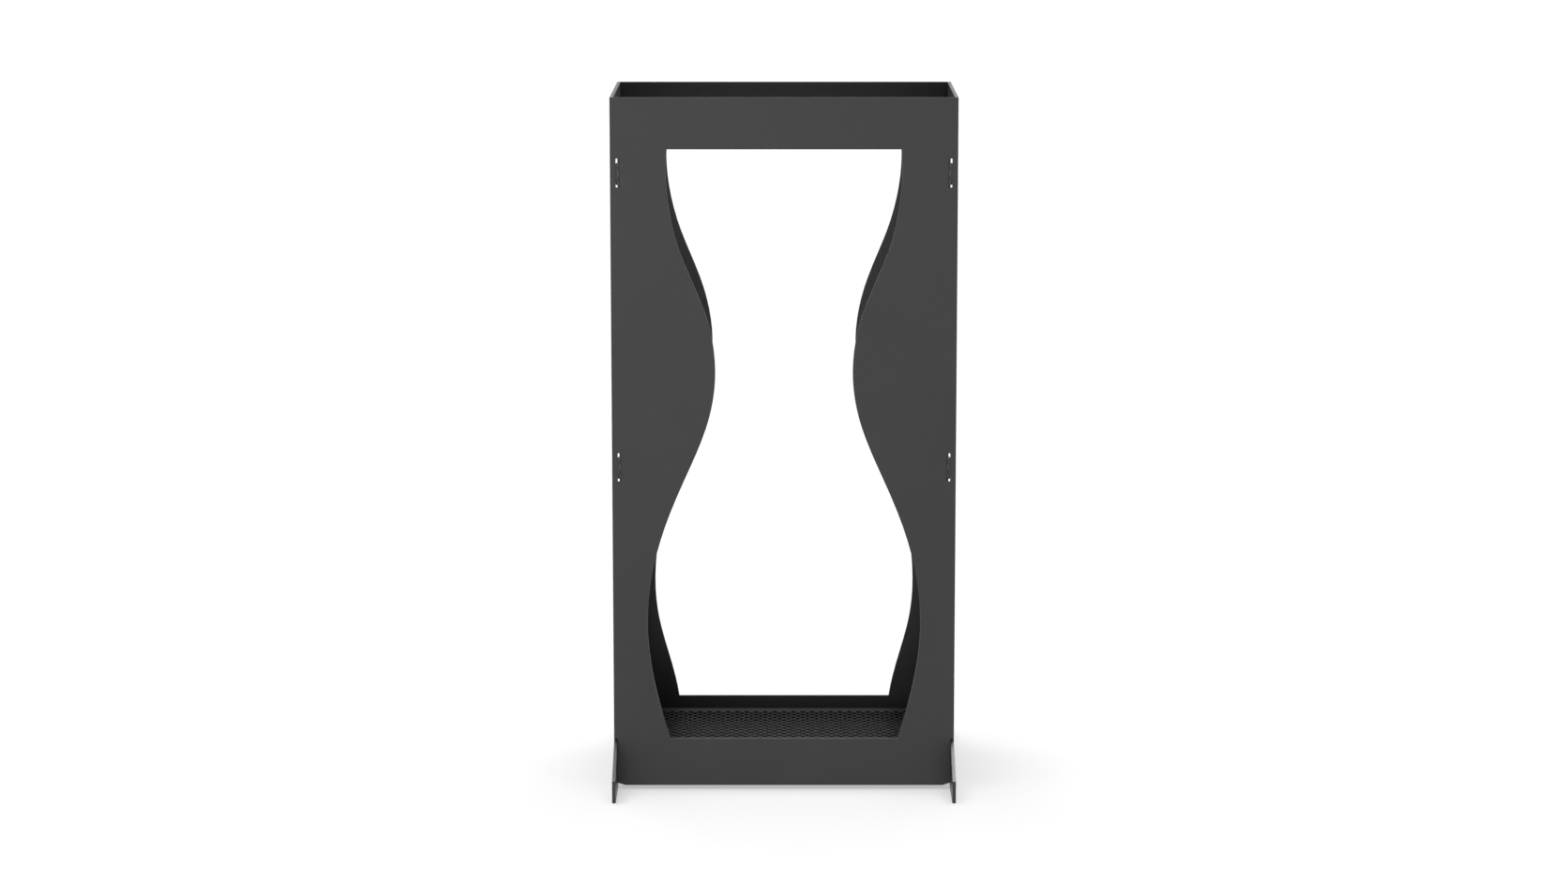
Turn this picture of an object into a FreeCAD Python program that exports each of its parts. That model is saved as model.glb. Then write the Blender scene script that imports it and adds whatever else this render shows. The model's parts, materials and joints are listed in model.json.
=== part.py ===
import FreeCAD, Part
import os

# Free-standing sheet-steel fireplace screen box: two tall panels with waisted
# windows, two side panels whose feet pass through the panels' lower corners,
# plug-in tabs in slots, a closed bottom plate, and over it a perforated tray,
# stiffened by flat bars, that lifts out.
# Millimetres. Origin at the bottom centre, +Z up, front towards -Y.

# Driving dimensions
WIDTH = 490.0
HEIGHT = 1000.0
DEPTH = 270.0
SHEET = 4.0
SIDE_T = 5.0
PANEL_BOTTOM = 6.0

# Half width of each window at its height: mouth, waist, belly and sill.
FRONT_SIDE = [
    (163.3, 75.2), (179, 128), (195.6, 237), (178.6, 359), (147.9, 441), (105.2, 549),
    (97.6, 605), (108.6, 684), (150.5, 791), (163.5, 850), (165.5, 927),
]
BACK_SIDE = [
    (157.6, 74.7), (170.4, 131), (188.3, 200), (192.7, 250), (178, 359), (150, 441),
    (106, 617), (121, 702), (154, 786), (169, 845), (170.5, 928),
]

FOOT_REACH = 80.0
FOOT_NOSE = 32.0
FOOT_TOP = 72.0
PAD_T = 2.0
NOTCH_TOP = 74.5
NOTCH_DEPTH = 5.1
RELIEF_LENGTH = 11.0
RELIEF_HEIGHT = 3.4
ARCH_HALF = 120.0
ARCH_TOP = 8.0

SIDE_WINDOW_BOTTOM = 330.0
SIDE_WINDOW_TOP = 928.0
STILE = 14.0
CORNER_R = 10.0

SLOT_BASES = (452.0, 873.0)
SLOT_H = 41.0
SLOT_IN = 231.3
SLOT_OUT = 236.9

TAB_T = 3.0
TAB_OUT = 236.8
TAB_LOW = 3.5
TAB_FACE = 12.0
TAB_HIGH = 33.5

RIVET_R = 2.1
HEAD_R = 4.0
HEAD_DEPTH = 1.6
TAIL_R = 3.5
TAIL_T = 1.0

TRAY_HALF_X = 230.0
TRAY_HALF_Y = 130.0
TRAY_TOP = 56.5
TRAY_T = 1.5
TRAY_BORDER = 21.0
BAR_T = 3.0
BAR_H = 13.5
HOLE_PITCH_X = 14.0
HOLE_PITCH_Y = 16.8
HOLE_HALF_X = 5.85
HOLE_HALF_Y = 7.0

BOTTOM_T = 2.0
BOTTOM_HALF_Y = 130.5
BOTTOM_FLANGE = 15.0

HALF_W = WIDTH / 2
HALF_D = DEPTH / 2
PLATE_IN = HALF_W - SIDE_T
PANEL_IN = HALF_D - SHEET
TRAY_LOW = TRAY_TOP - TRAY_T - BAR_H
BOTTOM_LOW = TRAY_LOW - BOTTOM_T
HOOK_RIVETS_Z = (12.0, 27.0)
BOTTOM_RIVETS_Y = (-90.0, 0.0, 90.0)

V = FreeCAD.Vector
X_AXIS = V(1, 0, 0)
Y_AXIS = V(0, 1, 0)
ORIGIN = V(0, 0, 0)

os.makedirs("parts", exist_ok=True)


def save(name, shape):
    shape.exportStep("parts/" + name + ".step")


def closed(points):
    return Part.makePolygon(points + [points[0]])


def box(x0, x1, y0, y1, z0, z1):
    return Part.makeBox(x1 - x0, y1 - y0, z1 - z0, V(x0, y0, z0))


def rounded(shape, radius, pick):
    edges = [e for e in shape.Edges if pick(e)]
    return shape.makeFillet(radius, edges)


def window(side):
    right = [V(x, 0, z) for x, z in side]
    left = [V(-x, 0, z) for x, z in side]
    curves = []
    for points in (right, left):
        curve = Part.BSplineCurve()
        curve.interpolate(points)
        curves.append(curve.toShape())
    sill = Part.makeLine(left[0], right[0])
    head = Part.makeLine(left[-1], right[-1])
    return Part.Wire([sill, curves[0], head, curves[1]])


def panel(side):
    # The bottom edge tapers up beside each foot, and the foot passes through the notch.
    x = HALF_W - NOTCH_DEPTH
    half = [
        (x - RELIEF_LENGTH, PANEL_BOTTOM), (x, PANEL_BOTTOM + RELIEF_HEIGHT),
        (x, NOTCH_TOP), (HALF_W, NOTCH_TOP), (HALF_W, HEIGHT),
    ]
    right = [V(a, 0, z) for a, z in half]
    left = [V(-a, 0, z) for a, z in reversed(half)]
    slots = []
    for base in SLOT_BASES:
        top = base + SLOT_H
        for a, b in ((SLOT_IN, SLOT_OUT), (-SLOT_OUT, -SLOT_IN)):
            slots.append(closed([V(a, 0, base), V(b, 0, base), V(b, 0, top), V(a, 0, top)]))
    face = Part.Face([closed(right + left), window(side)] + slots)
    return face.extrude(V(0, SHEET, 0))


def rivet(y, z, x_inner):
    # Flush rivet along X: cone head in the outer face, button tail at x_inner.
    outline = [
        V(HALF_W, 0, 0), V(HALF_W, HEAD_R, 0), V(HALF_W - HEAD_DEPTH, RIVET_R, 0),
        V(x_inner, RIVET_R, 0), V(x_inner, TAIL_R, 0), V(x_inner - TAIL_T, TAIL_R, 0),
        V(x_inner - TAIL_T, 0, 0),
    ]
    solid = Part.Face(closed(outline)).revolve(ORIGIN, X_AXIS, 360)
    solid.translate(V(0, y, z))
    return solid


def mirrored(shapes, normal):
    return [s.mirror(ORIGIN, normal) for s in shapes]


def hook_rivets():
    # The rivets of the right side panel, front and back.
    y = -(PANEL_IN - STILE / 2)
    front = [rivet(y, base + dz, TAB_OUT - TAB_T) for base in SLOT_BASES for dz in HOOK_RIVETS_Z]
    return front + mirrored(front, Y_AXIS)


def bottom_rivets():
    z = BOTTOM_LOW + BOTTOM_FLANGE / 2
    return [rivet(y, z, PLATE_IN - BOTTOM_T) for y in BOTTOM_RIVETS_Y]


def side_panel():
    slope = (FOOT_TOP - FOOT_NOSE) / FOOT_REACH
    tip = HALF_D + FOOT_REACH
    front = [
        (-PANEL_IN, HEIGHT), (-PANEL_IN, FOOT_TOP + slope * SHEET), (-tip, FOOT_NOSE),
        (-tip, PAD_T), (-ARCH_HALF, PAD_T), (-ARCH_HALF + 8, ARCH_TOP),
    ]
    back = [(-y, z) for y, z in reversed(front)]
    outline = [V(PLATE_IN, y, z) for y, z in front + back]
    plate = Part.Face(closed(outline)).extrude(V(SIDE_T, 0, 0))
    y = PANEL_IN - STILE
    hole = box(PLATE_IN - 1, HALF_W + 1, -y, y, SIDE_WINDOW_BOTTOM, SIDE_WINDOW_TOP)
    hole = rounded(hole, CORNER_R, lambda e: e.BoundBox.XLength > SHEET)
    plate = plate.cut(hole)
    for solid in hook_rivets() + bottom_rivets():
        plate = plate.cut(solid)
    return plate


def hook(base):
    # Tab plate of the right side panel: its front end fills the panel's slot.
    y_in = -(PANEL_IN - STILE)
    x_in = TAB_OUT - TAB_T
    outline = [
        V(x_in, y_in, base + TAB_LOW), V(x_in, -PANEL_IN, base + TAB_LOW),
        V(x_in, -HALF_D, base + TAB_FACE), V(x_in, -HALF_D, base + TAB_HIGH),
        V(x_in, y_in, base + TAB_HIGH),
    ]
    plate = Part.Face(closed(outline)).extrude(V(TAB_T, 0, 0))
    plate = rounded(plate, 3.0, lambda e: e.BoundBox.XLength > 1 and e.CenterOfMass.y > y_in - 1)
    for solid in hook_rivets():
        plate = plate.cut(solid)
    return plate


def spacer(base):
    y0 = -(PANEL_IN - 2)
    y1 = -(PANEL_IN - STILE + 2)
    block = box(TAB_OUT, PLATE_IN, y0, y1, base + 6, base + 33)
    block = rounded(block, 4.0, lambda e: e.BoundBox.XLength > 1)
    for solid in hook_rivets():
        block = block.cut(solid)
    return block


def bottom_plate():
    # Closed floor under the tray, its sides folded up and riveted to the side panels.
    x = PLATE_IN - BOTTOM_T
    top = BOTTOM_LOW + BOTTOM_FLANGE
    half = [(PLATE_IN, BOTTOM_LOW), (PLATE_IN, top), (x, top), (x, TRAY_LOW)]
    right = [V(a, 0, z) for a, z in half]
    left = [V(-a, 0, z) for a, z in reversed(half)]
    plate = Part.Face(closed(right + left)).extrude(V(0, 2 * BOTTOM_HALF_Y, 0))
    plate.translate(V(0, -BOTTOM_HALF_Y, 0))
    low_edge = BOTTOM_LOW + 0.1
    plate = rounded(plate, 2.0, lambda e: e.BoundBox.ZMax < low_edge and e.BoundBox.YLength > BOTTOM_HALF_Y)
    rivets = bottom_rivets()
    for solid in rivets + mirrored(rivets, X_AXIS):
        plate = plate.cut(solid)
    return plate


def tray():
    rows = int((TRAY_HALF_Y - TRAY_BORDER - HOLE_HALF_Y) / (HOLE_PITCH_Y / 2))
    reach = TRAY_HALF_X - TRAY_BORDER - HOLE_HALF_X
    holes = []
    for row in range(-rows, rows + 1):
        y = row * HOLE_PITCH_Y / 2
        shift = (row % 2) * HOLE_PITCH_X / 2
        columns = int((reach - shift) / HOLE_PITCH_X) + 1
        for column in range(-columns - 1, columns + 1):
            x = column * HOLE_PITCH_X + shift
            if abs(x) <= reach:
                corners = [
                    V(x - HOLE_HALF_X, y, 0), V(x, y - HOLE_HALF_Y, 0),
                    V(x + HOLE_HALF_X, y, 0), V(x, y + HOLE_HALF_Y, 0),
                ]
                holes.append(closed(corners))
    x = TRAY_HALF_X
    y = TRAY_HALF_Y
    corners = [V(-x, -y, 0), V(x, -y, 0), V(x, y, 0), V(-x, y, 0)]
    sheet = Part.Face([closed(corners)] + holes).extrude(V(0, 0, -TRAY_T))
    sheet.translate(V(0, 0, TRAY_TOP))
    return sheet


def tray_bars():
    # Flat bars on edge, welded under the rim of the tray.
    x = TRAY_HALF_X
    y = TRAY_HALF_Y
    z = TRAY_LOW + BAR_H
    long_bar = box(-x, x, -y, BAR_T - y, TRAY_LOW, z)
    short_bar = box(x - BAR_T, x, BAR_T - y, y - BAR_T, TRAY_LOW, z)
    return [long_bar, short_bar, long_bar.mirror(ORIGIN, Y_AXIS), short_bar.mirror(ORIGIN, X_AXIS)]


def foot_pad():
    tip = HALF_D + FOOT_REACH
    return box(PLATE_IN, HALF_W, -tip + 1, -ARCH_HALF - 1, 0, PAD_T)


front_panel = panel(FRONT_SIDE)
front_panel.translate(V(0, -HALF_D, 0))
save("front_panel", front_panel)

back_panel = panel(BACK_SIDE)
back_panel.translate(V(0, PANEL_IN, 0))
save("back_panel", back_panel)

save("bottom_plate", bottom_plate())
save("perforated_tray", tray())
save("tray_bars", Part.makeCompound(tray_bars()))

right_panel = side_panel()
front_right_pad = foot_pad()
back_right_pad = front_right_pad.mirror(ORIGIN, Y_AXIS)
right_parts = {
    "side_panel": right_panel,
    "front_foot_pad": front_right_pad,
    "back_foot_pad": back_right_pad,
}
for level, base in zip(("lower", "upper"), SLOT_BASES):
    front_hook = hook(base)
    right_parts["front_" + level + "_hook"] = front_hook
    right_parts["back_" + level + "_hook"] = front_hook.mirror(ORIGIN, Y_AXIS)

for name, shape in right_parts.items():
    save("right_" + name, shape)
    save("left_" + name, shape.mirror(ORIGIN, X_AXIS))

front_spacers = [spacer(base) for base in SLOT_BASES]
right_spacers = front_spacers + mirrored(front_spacers, Y_AXIS)
groups = {
    "hook_spacers": right_spacers,
    "hook_rivets": hook_rivets(),
    "bottom_plate_rivets": bottom_rivets(),
}
for name, solids in groups.items():
    save(name, Part.makeCompound(solids + mirrored(solids, X_AXIS)))
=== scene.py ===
import json
import math

import bpy
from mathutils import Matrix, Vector

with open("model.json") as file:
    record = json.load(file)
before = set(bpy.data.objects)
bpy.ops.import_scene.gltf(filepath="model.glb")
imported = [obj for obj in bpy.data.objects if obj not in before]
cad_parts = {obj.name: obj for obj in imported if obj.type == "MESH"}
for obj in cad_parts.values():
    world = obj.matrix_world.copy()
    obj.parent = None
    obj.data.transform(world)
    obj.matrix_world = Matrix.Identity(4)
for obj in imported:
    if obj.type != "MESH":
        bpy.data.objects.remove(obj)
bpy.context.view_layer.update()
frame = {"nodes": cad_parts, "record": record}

nodes = frame["nodes"]
scene = bpy.context.scene


# ---------------------------------------------------------------- materials

COATS = {
    # Name: the darkest and lightest colour, and the range of roughness.
    "anthracite_coat": ((0.022, 0.0222, 0.0227), (0.031, 0.0313, 0.0319), (0.34, 0.40)),
    "tray_coat": ((0.021, 0.0212, 0.0216), (0.030, 0.0303, 0.0309), (0.5, 0.6)),
    "rivet_coat": ((0.022, 0.0222, 0.0228), (0.030, 0.0302, 0.031), (0.4, 0.5)),
}
CLOUD_SHARE = 0.6
COAT_IOR = 1.45
FLOOR_GLOW = 0.46
DARK_END = 0.3
LIGHT_END = 0.7


def new_material(name):
    mat = bpy.data.materials.new(name)
    mat.use_nodes = True
    tree = mat.node_tree
    return mat, tree, tree.nodes["Principled BSDF"]


def noise(tree, scale, detail, roughness):
    coords = tree.nodes.new("ShaderNodeTexCoord")
    node = tree.nodes.new("ShaderNodeTexNoise")
    node.inputs["Scale"].default_value = scale
    node.inputs["Detail"].default_value = detail
    node.inputs["Roughness"].default_value = roughness
    tree.links.new(coords.outputs["Object"], node.inputs["Vector"])
    return node.outputs["Fac"]


def ramp(tree, source, stops):
    node = tree.nodes.new("ShaderNodeValToRGB")
    while len(node.color_ramp.elements) < len(stops):
        node.color_ramp.elements.new(0.5)
    for element, (place, colour) in zip(node.color_ramp.elements, stops):
        element.position = place
        element.color = (*colour, 1)
    tree.links.new(source, node.inputs["Fac"])
    return node.outputs["Color"]


def span(tree, source, low, high):
    node = tree.nodes.new("ShaderNodeMapRange")
    node.inputs["To Min"].default_value = low
    node.inputs["To Max"].default_value = high
    tree.links.new(source, node.inputs["Value"])
    return node.outputs["Result"]


def roughen(tree, shader, height, strength, distance):
    bump = tree.nodes.new("ShaderNodeBump")
    bump.inputs["Strength"].default_value = strength
    bump.inputs["Distance"].default_value = distance
    tree.links.new(height, bump.inputs["Height"])
    tree.links.new(bump.outputs["Normal"], shader.inputs["Normal"])


def powder_coat(name):
    # Matt paint baked on steel: fine orange-peel grain, flecks and a faint cloudiness.
    dark, light, rough = COATS[name]
    mat, tree, shader = new_material(name)
    mix = tree.nodes.new("ShaderNodeMix")
    mix.data_type = "FLOAT"
    mix.inputs["Factor"].default_value = 1 - CLOUD_SHARE
    cloud = noise(tree, scale=7.0, detail=4.0, roughness=0.6)
    fleck = noise(tree, scale=900.0, detail=2.0, roughness=0.6)
    peel = noise(tree, scale=800.0, detail=3.0, roughness=0.6)
    tree.links.new(cloud, mix.inputs["A"])
    tree.links.new(fleck, mix.inputs["B"])
    shade = mix.outputs["Result"]
    colour = ramp(tree, shade, [(DARK_END, dark), (LIGHT_END, light)])
    tree.links.new(colour, shader.inputs["Base Color"])
    tree.links.new(span(tree, shade, *rough), shader.inputs["Roughness"])
    roughen(tree, shader, peel, strength=0.4, distance=0.0003)
    shader.inputs["IOR"].default_value = COAT_IOR
    return mat


def dark_strip(name):
    # Near-black material for the strips under the feet: it shows as a darker line along the bottom of
    # each foot.
    mat, tree, shader = new_material(name)
    grain = noise(tree, scale=600.0, detail=4.0, roughness=0.7)
    stops = [(DARK_END, (0.010, 0.010, 0.011)), (LIGHT_END, (0.018, 0.018, 0.019))]
    tree.links.new(ramp(tree, grain, stops), shader.inputs["Base Color"])
    tree.links.new(span(tree, grain, low=0.7, high=0.9), shader.inputs["Roughness"])
    roughen(tree, shader, grain, strength=0.3, distance=0.0001)
    return mat


def floor_paint(name):
    # Pale matt paint with a soft glow of its own, like a lit studio table.
    mat, tree, shader = new_material(name)
    stops = [(DARK_END, (0.6, 0.6, 0.6)), (LIGHT_END, (0.62, 0.62, 0.62))]
    colour = ramp(tree, noise(tree, scale=3.0, detail=5.0, roughness=0.6), stops)
    tree.links.new(colour, shader.inputs["Base Color"])
    shader.inputs["Roughness"].default_value = 0.9
    shader.inputs["Specular IOR Level"].default_value = 0.0
    shader.inputs["Emission Color"].default_value = (1, 1, 1, 1)
    shader.inputs["Emission Strength"].default_value = FLOOR_GLOW
    return mat


slots = {
    "powder_coat": powder_coat("anthracite_coat"),
    "tray_coat": powder_coat("tray_coat"),
    "rivet_coat": powder_coat("rivet_coat"),
    "foot_rubber": dark_strip("dark_foot_strip"),
}
slot_of = {part["node"]: part["material_slot"] for part in frame["record"]["subparts"]}


# ------------------------------------------------------- the CAD nodes' finish

EDGE_RADIUS = 0.00025
WELD_REACH = 0.00001
SHARP = math.radians(35)


def soften(obj):
    # Lightly broken edges, as the coating leaves them.
    weld = obj.modifiers.new("weld", "WELD")
    weld.merge_threshold = WELD_REACH
    edge = obj.modifiers.new("edge", "BEVEL")
    edge.width = EDGE_RADIUS
    edge.segments = 2
    edge.limit_method = "ANGLE"
    edge.angle_limit = SHARP
    edge.loop_slide = False


for name, obj in nodes.items():
    for material_slot in obj.material_slots:
        material_slot.material = slots[slot_of[name]]
    if "rivets" not in name and "tray" not in name:
        soften(obj)


# ------------------------------------------------------- floor, light, camera

# Grey levels of the sky: from straight down to straight up, and from the front to the back.
SKY_UP = [(0.0, 0.8), (0.5, 1.0), (0.66, 0.5), (1.0, 0.3)]
SKY_BACK = [(0.0, 0.2), (0.35, 0.25), (0.5, 0.5), (0.8, 1.0)]

COVE_RADIUS = 6.0
COVE_FRONT = -30.0
COVE_BACK = 26.0
COVE_HALF = 40.0
COVE_HEIGHT = 24.0
COVE_STEPS = 24


def cove():
    # Flat floor that sweeps up into a backdrop far behind the object.
    profile = [(COVE_FRONT, 0.0), (COVE_BACK, 0.0)]
    for step in range(1, COVE_STEPS + 1):
        turn = math.radians(90 * step / COVE_STEPS)
        profile.append((COVE_BACK + COVE_RADIUS * math.sin(turn), COVE_RADIUS * (1 - math.cos(turn))))
    profile.append((COVE_BACK + COVE_RADIUS, COVE_HEIGHT))
    verts = [(x, y, z) for x in (-COVE_HALF, COVE_HALF) for y, z in profile]
    count = len(profile)
    faces = [(i, i + 1, count + i + 1, count + i) for i in range(count - 1)]
    mesh = bpy.data.meshes.new("floor")
    mesh.from_pydata(verts, [], faces)
    mesh.shade_smooth()
    mesh.materials.append(floor_paint("floor_paint"))
    obj = bpy.data.objects.new("floor", mesh)
    scene.collection.objects.link(obj)


def sky_shade(tree, axis, levels):
    # The grey level that goes with the view's direction along an axis.
    direction = tree.nodes.new("ShaderNodeTexCoord")
    split = tree.nodes.new("ShaderNodeSeparateXYZ")
    tree.links.new(direction.outputs["Generated"], split.inputs["Vector"])
    place = tree.nodes.new("ShaderNodeMapRange")
    place.inputs["From Min"].default_value = -1.0
    tree.links.new(split.outputs[axis], place.inputs["Value"])
    return ramp(tree, place.outputs["Result"], [(at, (level, level, level)) for at, level in levels])


def sky():
    # A white cyclorama at the horizon under a dimmer ceiling, darker in front.
    world = bpy.data.worlds.new("studio")
    scene.world = world
    world.use_nodes = True
    tree = world.node_tree
    mix = tree.nodes.new("ShaderNodeMix")
    mix.data_type = "RGBA"
    mix.blend_type = "MULTIPLY"
    mix.inputs["Factor"].default_value = 1.0
    tree.links.new(sky_shade(tree, "Z", SKY_UP), mix.inputs["A"])
    tree.links.new(sky_shade(tree, "Y", SKY_BACK), mix.inputs["B"])
    ground = tree.nodes["Background"]
    tree.links.new(mix.outputs["Result"], ground.inputs["Color"])
    ground.inputs["Strength"].default_value = 1.0


def overhead():
    # One very broad light, almost straight above.
    sun = bpy.data.lights.new("overhead", "SUN")
    sun.angle = math.radians(60)
    sun.energy = 2.3
    obj = bpy.data.objects.new("overhead", sun)
    obj.rotation_euler = (math.radians(-3), math.radians(-4), 0)
    scene.collection.objects.link(obj)


def panel_light(name, width, height, power, place, aim):
    # A flat rectangular lamp that the camera can't see; power is in watts per square metre.
    light = bpy.data.lights.new(name, "AREA")
    light.shape = "RECTANGLE"
    light.size = width
    light.size_y = height
    light.energy = power * width * height
    obj = bpy.data.objects.new(name, light)
    obj.location = place
    obj.rotation_euler = (Vector(aim) - obj.location).to_track_quat("-Z", "Y").to_euler()
    obj.visible_camera = False
    scene.collection.objects.link(obj)
    return obj


def softbox(name, left, right, power):
    # A low white panel far in front, as wide as from left to right.
    low, high, front = 0.025, 1.275, -9.0
    middle = (left + right) / 2
    centre = (low + high) / 2
    panel_light(name, right - left, high - low, power, (middle, front, centre), (middle, 0.0, centre))


def edge_light(name, x, power):
    # High behind the object: it glances off the feet's sloping edges, and lights the side panels alone.
    size, behind, height = 0.7, 1.05, 3.0
    front_feet = (0.0, -0.18, 0.05)
    lamp = panel_light(name, size, size, power, (x, behind, height), front_feet)
    lit = bpy.data.collections.new(name + "_lit")
    for side in ("left_side_panel", "right_side_panel"):
        lit.objects.link(nodes[side])
    lamp.light_linking.receiver_collection = lit


def camera():
    # A long lens at chest height, tilted down by about ten degrees.
    cam = bpy.data.cameras.new("camera")
    cam.lens = 91.02
    cam.sensor_width = 36.0
    cam.clip_end = 200.0
    obj = bpy.data.objects.new("camera", cam)
    obj.location = (0.0, -5.693, 1.481)
    obj.rotation_euler = (math.radians(90 - 9.9), 0, 0)
    scene.collection.objects.link(obj)
    scene.camera = obj


scene.view_settings.view_transform = "Standard"
cove()
sky()
overhead()
softbox("key_softbox", -9.0, 0.0, 13.5)
softbox("fill_softbox", 0.0, 6.0, 3.5)
edge_light("left_edge_light", -0.55, 30.16)
edge_light("right_edge_light", 0.55, 113.1)
camera()
